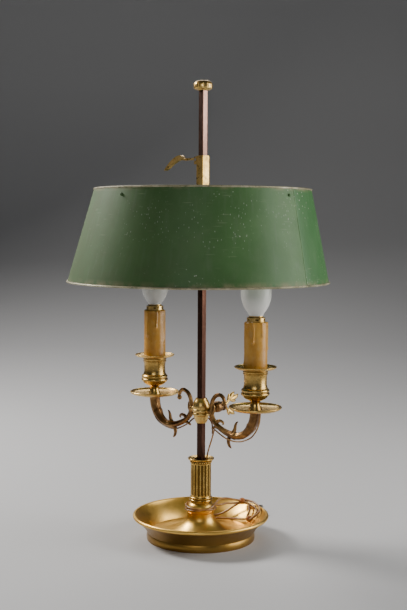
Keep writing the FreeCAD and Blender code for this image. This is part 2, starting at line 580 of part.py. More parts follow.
# the rest leaves behind the neck, crosses the far rim and lies coiled behind
tail = [P(3.0, 19.6, 35.2), P(-2.6, 21.6, 31.4), P(-5.4, 26.8, 24.6), P(-6.4, 34.6, 17.4), P(-5.6, 44.0, 13.6), P(-4.0, 54.0, 13.4),
        P(-2.4, 63.0, 18.0), P(-1.2, 71.0, 26.4), P(-0.6, 77.4, 33.8), P(-0.2, 84.6, 34.6), P(0.0, 89.6, 28.4),
        P(0.4, 91.6, 19.0), P(1.0, 92.4, 10.6), P(3.4, 94.8, 5.0)]
t, ln = tube(tail, CORD_D, "tail")
save(t, "cord_tail")
CC = P(0.0, 114.0, 0)
CR = 15.0
coil = rev([("L", [(CR - 4.2, 0.6), (CR + 4.2, 0.6), (CR + 4.2, 11.4), (CR - 4.2, 11.4)])], CC.x, CC.y)
save(coil, "cord_coil")
# a narrow tie round the coil's bundle, and the two knots that hold the strands
tie = box(-5.0, 5.0, -2.2, 2.2, 0.0, 12.0).cut(box(-4.3, 4.3, -3, 3, 0.6, 11.4))
tie.translate(V(CR, 0, 0))
tie.rotate(V(0, 0, 0), V(0, 0, 1), 43 + 200)
tie.translate(CC)
save(tie, "coil_tie")
ku, kl = None, None
for k, (c, r, hh) in enumerate(((P(52.0, 47.8, 32.6), 4.7, 3.7), (P(59.6, 17.8, 18.2), 4.0, 3.6))):
    q = rev([("L", [(0, c.z - hh), (0.4 * r, c.z - hh)]),
             ("S", [(0.78 * r, c.z - 0.62 * hh), (r, c.z), (0.78 * r, c.z + 0.62 * hh), (0.4 * r, c.z + hh)]),
             ("L", [(0, c.z + hh)])], c.x, c.y)
    if k == 0:
        ku = q
    else:
        kl = q
save(Part.makeCompound([ku, kl]), "cord_knots")

# two-pin plug lying beside the coil
pb = Part.makeBox(30.0, 27.0, 13.0, V(0, -13.5, 0.05))
pb = pb.makeFillet(3.0, [e for e in pb.Edges if abs(e.Vertexes[0].Point.x - e.Vertexes[1].Point.x) > 1])
pb = pb.fuse(Part.makeCone(2.6, 4.6, 9.0, V(-8.8, 0, 6.5), V(1, 0, 0)))
ang = 43.0
pb.rotate(V(0, 0, 0), V(0, 0, 1), ang)
PB = P(33.4, 112.0, 0)
pb.translate(PB)
save(pb, "plug_body")
pins = []
for y in (-9.3, 9.3):
    p = cyl(2.0, 18.0, V(30.0, y, 6.55), V(1, 0, 0)).fuse(Part.makeSphere(2.0, V(48.0, y, 6.55)))
    p.rotate(V(0, 0, 0), V(0, 0, 1), ang)
    p.translate(PB)
    pins.append(p)
save(Part.makeCompound(pins), "plug_pins")
lead = [P(15.4, 104.0, 9.2), P(18.4, 107.4, 8.6), P(21.6, 111.2, 7.2), P(24.6, 112.0, 6.5)]
t, ln = tube(lead, CORD_D, "plug_lead")
save(t, "plug_lead")
print("files", len(os.listdir("parts")))
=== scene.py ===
import math

import bmesh
import bpy
import numpy as np
from mathutils import Matrix, Vector, noise


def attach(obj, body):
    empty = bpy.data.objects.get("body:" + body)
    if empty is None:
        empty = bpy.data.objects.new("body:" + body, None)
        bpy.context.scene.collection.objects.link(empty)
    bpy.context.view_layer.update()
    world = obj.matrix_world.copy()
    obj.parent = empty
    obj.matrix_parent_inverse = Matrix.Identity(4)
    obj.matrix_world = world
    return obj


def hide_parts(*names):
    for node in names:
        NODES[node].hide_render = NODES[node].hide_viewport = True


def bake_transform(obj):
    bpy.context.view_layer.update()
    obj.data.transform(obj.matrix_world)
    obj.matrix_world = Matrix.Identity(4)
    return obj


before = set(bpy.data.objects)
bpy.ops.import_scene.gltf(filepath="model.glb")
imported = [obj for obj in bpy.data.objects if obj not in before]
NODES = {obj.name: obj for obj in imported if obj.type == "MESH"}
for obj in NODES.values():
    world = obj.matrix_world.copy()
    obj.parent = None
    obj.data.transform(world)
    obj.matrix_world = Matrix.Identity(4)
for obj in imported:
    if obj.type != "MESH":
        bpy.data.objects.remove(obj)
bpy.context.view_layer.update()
MM = 0.001
scene = bpy.context.scene

VIEW = math.radians(43.0)
EL = Vector((math.cos(VIEW), math.sin(VIEW), 0.0))
EV = Vector((-math.sin(VIEW), math.cos(VIEW), 0.0))


def P(lat, dep, z):
    """A point from its distance right of, behind and above the foot's middle, in the front view."""
    v = EL * lat + EV * dep + Vector((0, 0, z))
    return (v.x, v.y, v.z)


# ---------------------------------------------------------------------------
# camera
# ---------------------------------------------------------------------------
cam_data = bpy.data.cameras.new("Camera")
cam = bpy.data.objects.new("Camera", cam_data)
scene.collection.objects.link(cam)
cam_data.sensor_width = 36.0
cam_data.lens = 62.97
cam_data.clip_start = 0.05
cam_data.clip_end = 30
D, H = 1.270, 0.3764
cam.location = Vector((math.sin(VIEW) * D, -math.cos(VIEW) * D, H))
pitch = math.atan(78.9 / 1067.0)
yaw = math.atan(-1.6 / 1067.0)
look = (EV * math.cos(pitch) * math.cos(yaw) - EL * math.sin(yaw) * math.cos(pitch) + Vector((0, 0, -math.sin(pitch)))).normalized()
q = look.to_track_quat("-Z", "Y")
roll = Matrix.Rotation(math.radians(-0.34), 3, look)
cam.rotation_mode = "QUATERNION"
cam.rotation_quaternion = (roll @ q.to_matrix()).to_quaternion()
scene.camera = cam

# ---------------------------------------------------------------------------
# node helpers for the finishes
# ---------------------------------------------------------------------------


class Mat:
    def __init__(self, name):
        self.m = bpy.data.materials.new(name)
        self.m.use_nodes = True
        self.t = self.m.node_tree
        self.b = self.t.nodes["Principled BSDF"]
        self.tc = self.t.nodes.new("ShaderNodeTexCoord")

    def link(self, a, b):
        self.t.links.new(a, b)

    def mapping(self, scale=(1, 1, 1)):
        n = self.t.nodes.new("ShaderNodeMapping")
        n.inputs["Scale"].default_value = scale
        self.link(self.tc.outputs["Object"], n.inputs["Vector"])
        return n.outputs["Vector"]

    def noise(self, scale, detail=4, rough=0.55, stretch=None, distortion=0.0):
        n = self.t.nodes.new("ShaderNodeTexNoise")
        n.inputs["Scale"].default_value = scale
        n.inputs["Detail"].default_value = detail
        n.inputs["Roughness"].default_value = rough
        n.inputs["Distortion"].default_value = distortion
        self.link(self.mapping(stretch or (1, 1, 1)), n.inputs["Vector"])
        return n.outputs["Fac"]

    def voronoi(self, scale, stretch=None, feature="F1"):
        n = self.t.nodes.new("ShaderNodeTexVoronoi")
        n.feature = feature
        n.inputs["Scale"].default_value = scale
        self.link(self.mapping(stretch or (1, 1, 1)), n.inputs["Vector"])
        return n.outputs["Distance"]

    def ramp(self, fac, stops, interp="LINEAR"):
        n = self.t.nodes.new("ShaderNodeValToRGB")
        n.color_ramp.interpolation = interp
        e = n.color_ramp.elements
        while len(e) < len(stops):
            e.new(0.5)
        for i, (p, c) in enumerate(stops):
            e[i].position = p
            e[i].color = (c[0], c[1], c[2], 1) if hasattr(c, "__len__") else (c, c, c, 1)
        self.link(fac, n.inputs["Fac"])
        return n.outputs["Color"]

    def mix(self, fac, a, b, mode="MIX"):
        n = self.t.nodes.new("ShaderNodeMix")
        n.data_type = "RGBA"
        n.blend_type = mode
        for s, v in ((n.inputs[0], fac), (n.inputs[6], a), (n.inputs[7], b)):
            if hasattr(v, "is_linked") or hasattr(v, "links"):
                self.link(v, s)
            elif hasattr(v, "__len__"):
                s.default_value = (v[0], v[1], v[2], 1)
            else:
                s.default_value = v
        return n.outputs[2]

    def math(self, op, a, b=0.0, clamp=False):
        n = self.t.nodes.new("ShaderNodeMath")
        n.operation = op
        n.use_clamp = clamp
        for s, v in ((n.inputs[0], a), (n.inputs[1], b)):
            if hasattr(v, "links"):
                self.link(v, s)
            else:
                s.default_value = v
        return n.outputs[0]

    def ao(self, distance=0.004, inside=False):
        n = self.t.nodes.new("ShaderNodeAmbientOcclusion")
        n.samples = 8
        n.inside = inside
        n.inputs["Distance"].default_value = distance
        return n.outputs["AO"]

    def xyz(self):
        n = self.t.nodes.new("ShaderNodeSeparateXYZ")
        self.link(self.tc.outputs["Object"], n.inputs[0])
        return n.outputs

    def normal_z(self):
        g = self.t.nodes.new("ShaderNodeNewGeometry")
        n = self.t.nodes.new("ShaderNodeSeparateXYZ")
        self.link(g.outputs["Normal"], n.inputs[0])
        return n.outputs[2]

    def bump(self, h, strength=0.3, dist=0.0005):
        n = self.t.nodes.new("ShaderNodeBump")
        n.inputs["Strength"].default_value = strength
        n.inputs["Distance"].default_value = dist
        self.link(h, n.inputs["Height"])
        self.link(n.outputs["Normal"], self.b.inputs["Normal"])

    def base(self, c):
        self.link(c, self.b.inputs["Base Color"]) if hasattr(c, "links") else setattr(self.b.inputs["Base Color"], "default_value", (c[0], c[1], c[2], 1))

    def rough(self, c):
        self.link(c, self.b.inputs["Roughness"]) if hasattr(c, "links") else setattr(self.b.inputs["Roughness"], "default_value", c)

    def set(self, key, v):
        self.b.inputs[key].default_value = v


def brass(name, hi, mid, lo, dark, rough=(0.22, 0.42), tarnish=(0.50, 0.72), ao_d=0.005, scratch=0.5, scale=1.0, painted_outer_shade=None, flutes=None):
    """Aged brass: bright where rubbed, brown in the recesses, with spots and fine scratches."""
    m = Mat(name)
    m.set("Metallic", 1.0)
    n1 = m.noise(38 * scale, 5, 0.6)
    n2 = m.noise(230 * scale, 4, 0.6)
    n3 = m.noise(900 * scale, 3, 0.5)
    base = m.ramp(n1, [(0.30, lo), (0.50, mid), (0.68, hi)])
    spots = m.ramp(n2, [(tarnish[0], 0.0), (tarnish[1], 1.0)])
    base = m.mix(m.math("MULTIPLY", spots, 0.38), base, dark)
    cav = m.ramp(m.ao(ao_d), [(0.30, 1.0), (0.85, 0.0)])
    base = m.mix(m.math("MULTIPLY", cav, 0.80), base, dark)
    if flutes:
        x, y, z = m.xyz()
        r = m.math("SQRT", m.math("ADD", m.math("MULTIPLY", x, x), m.math("MULTIPLY", y, y)))
        deep = m.math("MULTIPLY", m.math("SUBTRACT", 0.01222, r), 2600.0, clamp=True)
        zone = m.math("MULTIPLY", m.math("GREATER_THAN", z, 0.0525), m.math("LESS_THAN", z, 0.0914))
        base = m.mix(m.math("MULTIPLY", m.math("MULTIPLY", deep, zone), 0.88), base, flutes)
    # painted shade: the dish's outer wall below its lip is darkened towards this colour, standing in for the dark
    # reflection and shade it shows
    if painted_outer_shade:
        x, y, z = m.xyz()
        r = m.math("SQRT", m.math("ADD", m.math("MULTIPLY", x, x), m.math("MULTIPLY", y, y)))
        under = m.math("MULTIPLY", m.math("SUBTRACT", r, m.math("ADD", m.math("MULTIPLY", z, 0.867), 0.0545)), 1500.0, clamp=True)
        low = m.math("MULTIPLY", m.math("SUBTRACT", 0.0262, z), 500.0, clamp=True)
        base = m.mix(m.math("MULTIPLY", m.math("MULTIPLY", under, low), 0.84), base, painted_outer_shade)
    m.base(base)
    r = m.ramp(n2, [(0.3, rough[0]), (0.7, rough[1])])
    r = m.mix(m.math("MULTIPLY", cav, 0.6), r, (0.6, 0.6, 0.6))
    m.rough(r)
    s1 = m.noise(900 * scale, 2, 0.5, stretch=(1, 1, 0.07))
    hgt = m.math("ADD", m.math("MULTIPLY", n3, 0.35), m.math("MULTIPLY", s1, scratch * 0.5))
    hgt = m.math("ADD", hgt, m.math("MULTIPLY", n2, 0.30))
    m.bump(hgt, 0.11, 0.0003)
    return m.m


M = {}
M["brass"] = brass("aged_brass", (0.88, 0.62, 0.24), (0.74, 0.485, 0.15), (0.52, 0.31, 0.08), (0.11, 0.052, 0.012))
M["brass_cup"] = brass("cup_brass", (0.72, 0.49, 0.17), (0.55, 0.345, 0.095), (0.35, 0.20, 0.05), (0.070, 0.034, 0.008), rough=(0.20, 0.36))
M["brass_arm"] = brass("arm_brass", (0.50, 0.29, 0.10), (0.27, 0.140, 0.050), (0.125, 0.062, 0.026), (0.026, 0.013, 0.008),
                       rough=(0.28, 0.46), tarnish=(0.44, 0.66), ao_d=0.004)
# the dish's outer-wall colour below is painted shade
M["brass_dish"] = brass("dish_brass", (0.92, 0.60, 0.17), (0.82, 0.50, 0.115), (0.62, 0.355, 0.07), (0.20, 0.10, 0.02),
                        rough=(0.30, 0.42), tarnish=(0.62, 0.84), ao_d=0.004, scale=0.7, painted_outer_shade=(0.25, 0.135, 0.030))
M["brass_col"] = brass("column_brass", (0.74, 0.50, 0.15), (0.55, 0.34, 0.085), (0.33, 0.19, 0.040), (0.060, 0.028, 0.006),
                       rough=(0.20, 0.34), tarnish=(0.62, 0.82), ao_d=0.0022, scratch=0.1, flutes=(0.085, 0.040, 0.007))


def rod_mat():
    m = Mat("rod_patina")
    m.set("Metallic", 1.0)
    n1 = m.noise(30, 5, 0.6, stretch=(1, 1, 0.25))
    n2 = m.noise(260, 4, 0.6, stretch=(1, 1, 0.5))
    base = m.ramp(n1, [(0.3, (0.026, 0.012, 0.008)), (0.52, (0.056, 0.025, 0.016)), (0.72, (0.12, 0.056, 0.035))])
    base = m.mix(m.ramp(n2, [(0.58, 0.0), (0.75, 0.5)]), base, (0.20, 0.10, 0.06))
    z = m.xyz()[2]
    # painted highlight: above the shade's top the rod is lightened towards copper-pink, most strongly on its +X face,
    # for the light those parts catch
    upper = m.math("MULTIPLY", m.math("SUBTRACT", z, 0.418), 12.0, clamp=True)
    lit_face = m.math("MULTIPLY", m.math("SUBTRACT", m.xyz()[0], 0.0030), 3000.0, clamp=True)
    upper = m.math("MULTIPLY", upper, m.math("ADD", m.math("MULTIPLY", lit_face, 0.80), 0.16))
    base = m.mix(upper, base, m.mix(0.66, base, (0.60, 0.36, 0.28)))
    m.base(base)
    m.rough(m.ramp(n2, [(0.3, 0.26), (0.7, 0.44)]))
    m.bump(n2, 0.25, 0.0004)
    return m.m


M["rod"] = rod_mat()


def steel_mat():
    m = Mat("dull_steel")
    m.set("Metallic", 1.0)
    n1 = m.noise(120, 4, 0.6)
    m.base(m.ramp(n1, [(0.3, (0.20, 0.18, 0.16)), (0.7, (0.45, 0.43, 0.40))]))
    m.rough(m.ramp(n1, [(0.3, 0.30), (0.7, 0.5)]))
    m.bump(m.noise(700, 2), 0.2, 0.0003)
    return m.m


M["steel"] = steel_mat()


def flex_mat():
    m = Mat("golden_flex")
    n1 = m.noise(90, 4, 0.6)
    n2 = m.noise(700, 3, 0.5)
    m.base(m.ramp(n1, [(0.28, (0.17, 0.080, 0.018)), (0.5, (0.38, 0.18, 0.042)), (0.72, (0.58, 0.32, 0.095))]))
    m.rough(m.ramp(n2, [(0.3, 0.30), (0.7, 0.5)]))
    m.set("Coat Weight", 0.25)
    m.set("Coat Roughness", 0.25)
    m.bump(n2, 0.25, 0.0003)
    return m.m


M["flex"] = flex_mat()


def tie_mat():
    m = Mat("rust_tie")
    n1 = m.noise(260, 4, 0.6)
    m.base(m.ramp(n1, [(0.3, (0.26, 0.075, 0.015)), (0.6, (0.52, 0.18, 0.035)), (0.78, (0.66, 0.30, 0.08))]))
    m.rough(m.ramp(n1, [(0.3, 0.42), (0.7, 0.66)]))
    m.bump(n1, 0.5, 0.0005)
    return m.m


M["tie"] = tie_mat()


def candle_mat():
    m = Mat("wax_ochre")
    n1 = m.noise(34, 5, 0.62, stretch=(1, 1, 0.45))
    n2 = m.noise(180, 4, 0.6, stretch=(1, 1, 0.6))
    v = m.voronoi(90)
    base = m.ramp(n1, [(0.28, (0.36, 0.150, 0.018)), (0.50, (0.60, 0.29, 0.040)), (0.72, (0.76, 0.44, 0.10))])
    base = m.mix(m.ramp(n2, [(0.52, 0.0), (0.75, 0.45)]), base, (0.62, 0.42, 0.17))
    specks = m.ramp(v, [(0.030, 1.0), (0.060, 0.0)])
    keep = m.ramp(m.noise(24, 2), [(0.52, 0.0), (0.60, 1.0)])
    base = m.mix(m.math("MULTIPLY", specks, keep), base, (0.09, 0.04, 0.012))
    m.base(base)
    m.set("Subsurface Weight", 0.10)
    m.set("Subsurface Radius", (0.004, 0.002, 0.0008))
    m.rough(m.ramp(n2, [(0.3, 0.24), (0.7, 0.40)]))
    m.bump(m.math("ADD", m.math("MULTIPLY", n2, 0.7), m.math("MULTIPLY", n1, 1.0)), 0.35, 0.0008)
    return m.m


M["candle"] = candle_mat()


def glass_mat(name, tint, trans):
    m = Mat(name)
    n1 = m.noise(60, 4, 0.5)
    n2 = m.noise(900, 3, 0.5)
    m.base(m.ramp(n1, [(0.3, tuple(c * 0.90 for c in tint)), (0.7, tint)]))
    m.set("Transmission Weight", trans)
    m.set("IOR", 1.45)
    m.rough(m.ramp(n2, [(0.3, 0.34), (0.7, 0.46)]))
    m.set("Coat Weight", 0.35)
    m.set("Coat Roughness", 0.22)
    m.bump(n2, 0.10, 0.0003)
    return m.m


M["bulb_r"] = glass_mat("frosted_glass_white", (0.95, 0.94, 0.90), 0.12)
M["bulb_l"] = glass_mat("frosted_glass_grey", (0.80, 0.79, 0.76), 0.28)


def porcelain_mat():
    m = Mat("porcelain")
    n1 = m.noise(80, 3)
    m.base(m.ramp(n1, [(0.3, (0.62, 0.58, 0.50)), (0.7, (0.80, 0.77, 0.70))]))
    m.rough(0.25)
    m.bump(n1, 0.1, 0.0003)
    return m.m


M["porcelain"] = porcelain_mat()


def plug_mat():
    m = Mat("brown_moulding")
    n1 = m.noise(140, 4, 0.6)
    m.base(m.ramp(n1, [(0.3, (0.085, 0.038, 0.016)), (0.7, (0.16, 0.075, 0.030))]))
    m.rough(m.ramp(n1, [(0.3, 0.35), (0.7, 0.55)]))
    m.bump(m.noise(900, 2), 0.2, 0.0003)
    return m.m


M["plug"] = plug_mat()

SEAM = math.radians(4.0)


def shade_mat(inner):
    """Old green paint on sheet metal: mottled, chipped to bare metal near the rims, runs and scratches."""
    m = Mat("green_paint_inside" if inner else "green_paint")
    x, y, z = m.xyz()
    n1 = m.noise(9, 5, 0.6)
    n2 = m.noise(46, 5, 0.65)
    n3 = m.noise(300, 4, 0.6)
    if inner:
        m.base(m.ramp(n2, [(0.3, (0.42, 0.40, 0.34)), (0.55, (0.58, 0.56, 0.49)), (0.75, (0.68, 0.66, 0.58))]))
        m.rough(0.55)
        m.bump(n3, 0.2, 0.0004)
        return m.m
    base = m.ramp(n1, [(0.30, (0.052, 0.128, 0.036)), (0.50, (0.070, 0.168, 0.050)), (0.70, (0.100, 0.215, 0.072))])
    base = m.mix(m.ramp(n2, [(0.50, 0.0), (0.74, 0.45)]), base, (0.11, 0.185, 0.080))
    # a duller olive, and rougher, on the side away from the seam
    g = m.math("ADD", m.math("MULTIPLY", x, -EL.x), m.math("MULTIPLY", y, -EL.y))
    olive_side = m.math("MULTIPLY", m.math("ADD", g, 0.03), 5.0, clamp=True)
    base = m.mix(m.math("MULTIPLY", olive_side, m.ramp(n2, [(0.25, 0.35), (0.7, 0.85)])), base, (0.082, 0.112, 0.040))
    # more saturated green right of the seam
    off = m.math("MULTIPLY", m.math("SUBTRACT", z, 0.4092), 0.0462)
    at = m.math("ARCTAN2", m.math("SUBTRACT", y, m.math("MULTIPLY", off, EL.y)), m.math("SUBTRACT", x, m.math("MULTIPLY", off, EL.x)))
    right = m.math("GREATER_THAN", at, SEAM)
    right = m.math("MULTIPLY", right, m.math("LESS_THAN", at, SEAM + 1.5))
    base = m.mix(m.math("MULTIPLY", right, 0.60), base, (0.036, 0.150, 0.040))
    # pale line along the seam: worn paint, and a painted highlight on the lap's edge
    edge_ = m.math("MULTIPLY", m.math("SUBTRACT", 0.0075, m.math("ABSOLUTE", m.math("SUBTRACT", at, SEAM - 0.001))), 260.0, clamp=True)
    edge_ = m.math("MULTIPLY", edge_, m.ramp(m.noise(60, 4), [(0.36, 0.15), (0.60, 0.80)]))
    base = m.mix(edge_, base, (0.20, 0.36, 0.15))
    # vertical streaks
    cyl = m.t.nodes.new("ShaderNodeCombineXYZ")
    m.link(at, cyl.inputs[0])
    m.link(m.math("MULTIPLY", z, 0.9), cyl.inputs[1])
    st = m.t.nodes.new("ShaderNodeTexNoise")
    st.inputs["Scale"].default_value = 26
    st.inputs["Detail"].default_value = 5
    mp = m.t.nodes.new("ShaderNodeMapping")
    mp.inputs["Scale"].default_value = (1.0, 1.2, 1.0)
    m.link(cyl.outputs[0], mp.inputs["Vector"])
    m.link(mp.outputs[0], st.inputs["Vector"])
    base = m.mix(m.ramp(st.outputs["Fac"], [(0.55, 0.0), (0.78, 0.35)]), base, (0.14, 0.20, 0.12))
    # white chips and specks
    v = m.voronoi(190)
    sp = m.ramp(v, [(0.10, 1.0), (0.17, 0.0)])
    keep = m.ramp(m.noise(21, 3), [(0.59, 0.0), (0.68, 0.8)])
    base = m.mix(m.math("MULTIPLY", sp, keep), base, (0.60, 0.64, 0.52))
    v2 = m.voronoi(420, stretch=(1, 1, 0.35))
    sp2 = m.ramp(v2, [(0.10, 0.7), (0.20, 0.0)])
    base = m.mix(m.math("MULTIPLY", sp2, m.ramp(m.noise(17, 2), [(0.5, 0.0), (0.62, 1.0)])), base, (0.50, 0.54, 0.44))
    # scratches: short slanted lines
    v3 = m.voronoi(46, stretch=(0.7, 0.7, 7))
    sc = m.ramp(v3, [(0.10, 1.0), (0.22, 0.0)])
    base = m.mix(m.math("MULTIPLY", sc, m.ramp(m.noise(16, 3), [(0.50, 0.0), (0.62, 0.30)])), base, (0.30, 0.36, 0.22))
    # worn to tan by the rims
    lowz = m.math("MULTIPLY", m.math("SUBTRACT", 0.3180, z), 150.0, clamp=True)
    topz = m.math("MULTIPLY", m.math("SUBTRACT", z, 0.4145), 230.0, clamp=True)
    edge = m.math("MULTIPLY", m.math("MAXIMUM", lowz, topz), m.ramp(n2, [(0.42, 0.0), (0.62, 1.0)]))
    base = m.mix(m.math("MULTIPLY", edge, 0.75), base, (0.30, 0.26, 0.14))
    m.base(base)
    m.set("Coat Weight", 0.08)
    m.set("Coat Roughness", 0.34)
    m.rough(m.mix(olive_side, m.ramp(n2, [(0.3, 0.42), (0.7, 0.58)]), (0.68, 0.68, 0.68)))
    m.set("Specular IOR Level", 0.30)
    hgt = m.math("ADD", m.math("MULTIPLY", n2, 0.9), m.math("MULTIPLY", n3, 0.35))
    m.bump(hgt, 0.22, 0.0006)
    return m.m


M["shade"] = shade_mat(False)
M["shade_in"] = shade_mat(True)


def rim_mat():
    m = Mat("worn_gilt_line")
    n1 = m.noise(60, 5, 0.6)
    n2 = m.noise(260, 4, 0.6)
    base = m.ramp(n1, [(0.30, (0.20, 0.19, 0.105)), (0.50, (0.36, 0.33, 0.20)), (0.70, (0.56, 0.52, 0.37))])
    base = m.mix(m.ramp(n2, [(0.55, 0.0), (0.70, 0.7)]), base, (0.045, 0.085, 0.035))
    m.base(base)
    m.set("Metallic", 0.35)
    m.rough(m.ramp(n2, [(0.3, 0.36), (0.7, 0.55)]))
    m.bump(n2, 0.3, 0.0004)
    return m.m


M["rim"] = rim_mat()

# ---------------------------------------------------------------------------
# mesh helpers
# ---------------------------------------------------------------------------


def obj_from(name, verts, faces, mat, smooth=True, angle=None):
    me = bpy.data.meshes.new(name)
    me.from_pydata([tuple(c * MM for c in v) for v in verts], [], faces)
    me.validate()
    me.update()
    bm = bmesh.new()
    bm.from_mesh(me)
    bmesh.ops.recalc_face_normals(bm, faces=bm.faces)
    bm.to_mesh(me)
    bm.free()
    o = bpy.data.objects.new(name, me)
    scene.collection.objects.link(o)
    me.materials.append(mat)
    for p in me.polygons:
        p.use_smooth = smooth
    if angle is not None:
        me.set_sharp_from_angle(angle=math.radians(angle))
    return o


def catmull(pts, n):
    """Smooth points through pts (any dimension), n per span."""
    pts = [np.array(p, float) for p in pts]
    q = [2 * pts[0] - pts[1]] + pts + [2 * pts[-1] - pts[-2]]
    out = []
    for i in range(1, len(q) - 2):
        a, b, c, d = q[i - 1], q[i], q[i + 1], q[i + 2]
        for k in range(n):
            t = k / n
            out.append(0.5 * ((2 * b) + (c - a) * t + (2 * a - 5 * b + 4 * c - d) * t * t + (3 * b - a - 3 * c + d) * t ** 3))
    out.append(pts[-1])
    return out


def profile(segs):
    """Closed (r, z) outline from ('L' or 'S', points) runs, like the turned pieces' own outlines."""
    out = []
    last = None
    for kind, pts in segs:
        q = ([last] if last is not None else []) + list(pts)
        if kind == "S" and len(q) > 2:
            c = catmull(q, 5)
            out += [tuple(p) for p in (c[1:] if last is not None else c)]
        else:
            out += [tuple(p) for p in (q[1:] if last is not None else q)]
        last = out[-1]
    return out


def lathe(name, prof, mat, cx=0.0, cy=0.0, n=96, angle=38, wob=None):
    verts, faces = [], []
    m = len(prof)
    for i in range(n):
        a = 2 * math.pi * i / n
        ca, sa = math.cos(a), math.sin(a)
        for k, (r, z) in enumerate(prof):
            rr, zz = (r, z) if wob is None else wob(r, z, a, k)
            verts.append((cx + rr * ca, cy + rr * sa, zz))
    for i in range(n):
        j = (i + 1) % n
        for k in range(m):
            l = (k + 1) % m
            faces.append((i * m + k, j * m + k, j * m + l, i * m + l))
    return obj_from(name, verts, faces, mat, angle=angle)


def join(objs, name):
    """One piece from several closed meshes."""
    bpy.ops.object.select_all(action="DESELECT")
    for o in objs:
        o.select_set(True)
    bpy.context.view_layer.objects.active = objs[0]
    if len(objs) > 1:
        bpy.ops.object.join()
    objs[0].name = name
    objs[0].data.name = name
    return objs[0]


def sweep(name, path, radii, mat, up=(0, 1, 0), n=20, ridge=0.0, lobes=4, phase=0.0, flat=1.0, cap=True, angle=50):
    """Tapering limb along path; ridge cuts lengthwise grooves, flat scales it along up."""
    path = [Vector(p) for p in path]
    up = Vector(up).normalized()
    verts, faces = [], []
    m = len(path)
    for i, p in enumerate(path):
        a = path[max(0, i - 1)]
        b = path[min(m - 1, i + 1)]
        t = (b - a).normalized()
        s = t.cross(up).normalized()
        u = s.cross(t).normalized()
        for k in range(n):
            th = 2 * math.pi * k / n
            r = radii[i] * (1.0 + ridge * math.cos(lobes * th + phase))
            v = p + s * (r * math.cos(th)) + u * (r * math.sin(th) * flat)
            verts.append((v.x, v.y, v.z))
    for i in range(m - 1):
        for k in range(n):
            l = (k + 1) % n
            faces.append((i * n + k, i * n + l, (i + 1) * n + l, (i + 1) * n + k))
    if cap:
        for end, i0, sgn in ((0, 0, -1), (1, (m - 1) * n, 1)):
            p = path[0] if end == 0 else path[-1]
            q = path[1] if end == 0 else path[-2]
            d = (p - q).normalized()
            rr = radii[0] if end == 0 else radii[-1]
            ring_prev = [i0 + k for k in range(n)]
            for f in (0.5, 0.87):
                c = p + d * (rr * f * 0.8)
                sc = math.sqrt(max(0.0, 1 - f * f))
                ring = []
                for k in range(n):
                    v0 = Vector(verts[i0 + k])
                    v = c + (v0 - p) * sc
                    ring.append(len(verts))
                    verts.append((v.x, v.y, v.z))
                for k in range(n):
                    l = (k + 1) % n
                    fce = (ring_prev[k], ring_prev[l], ring[l], ring[k])
                    faces.append(fce if sgn > 0 else fce[::-1])
                ring_prev = ring
            tip = len(verts)
            v = p + d * (rr * 0.8)
            verts.append((v.x, v.y, v.z))
            for k in range(n):
                l = (k + 1) % n
                f3 = (ring_prev[k], ring_prev[l], tip)
                faces.append(f3 if sgn > 0 else f3[::-1])
    return obj_from(name, verts, faces, mat, angle=angle)


def smooth_line(rows, n=6):
    """rows of (t, z, r): returns (points, radii) along a smooth line in the arm's plane."""
    c = catmull(rows, n)
    return [(p[0], p[1]) for p in c], [max(0.15, p[2]) for p in c]


# ---------------------------------------------------------------------------
# supply flex and arm flex
# ---------------------------------------------------------------------------
GA = math.radians(95.0)
GD = Vector((math.cos(GA), math.sin(GA), 0))
GZ = 48.6


def gp(r, z):
    return (GD.x * r, GD.y * r, z)


def polar(alpha, r, z):
    a = math.radians(alpha)
    return P(r * math.cos(a), r * math.sin(a), z)


route = [gp(15.8, GZ), gp(19.4, GZ - 0.4), polar(66, 20.6, 46.0), polar(84, 18.8, 42.6)]
# two turns round the neck
a = 108.0
heights = []
while a < 655:
    f = (a - 108.0) / (655 - 108.0)
    z = 41.4 - 6.4 * min(1.0, f / 0.62) + (3.0 * max(0.0, (f - 0.72) / 0.28) if f > 0.72 else 0.0)
    z += 0.35 * math.sin(math.radians(a * 1.7))
    route.append(polar(a, 18.4 + (0.5 if f > 0.8 else 0.0), z))
    a += 25.0
route += [P(12.4, -13.8, 39.6), P(17.6, -4.0, 42.6), P(22.8, 10.0, 44.6), P(31.0, 24.0, 42.4), P(40.0, 38.0, 37.2), P(47.6, 46.4, 33.9)]
# the tied loop, first pass
route += [P(52.6, 48.4, 33.6), P(59.0, 44.8, 34.6), P(67.8, 36.0, 33.6), P(72.6, 25.0, 31.2), P(72.4, 14.6, 28.4),
          P(67.6, 13.0, 23.4), P(60.4, 18.2, 17.6), P(53.0, 28.6, 14.6), P(44.4, 37.4, 13.0), P(34.0, 43.0, 11.6),
          P(22.0, 46.6, 11.0), P(10.0, 45.0, 11.2), P(0.0, 43.6, 11.4), P(-6.6, 48.6, 11.6), P(-1.0, 55.0, 12.2),
          P(9.0, 55.8, 12.4), P(21.0, 53.6, 12.8), P(31.0, 51.6, 17.6), P(40.0, 50.0, 24.2)]
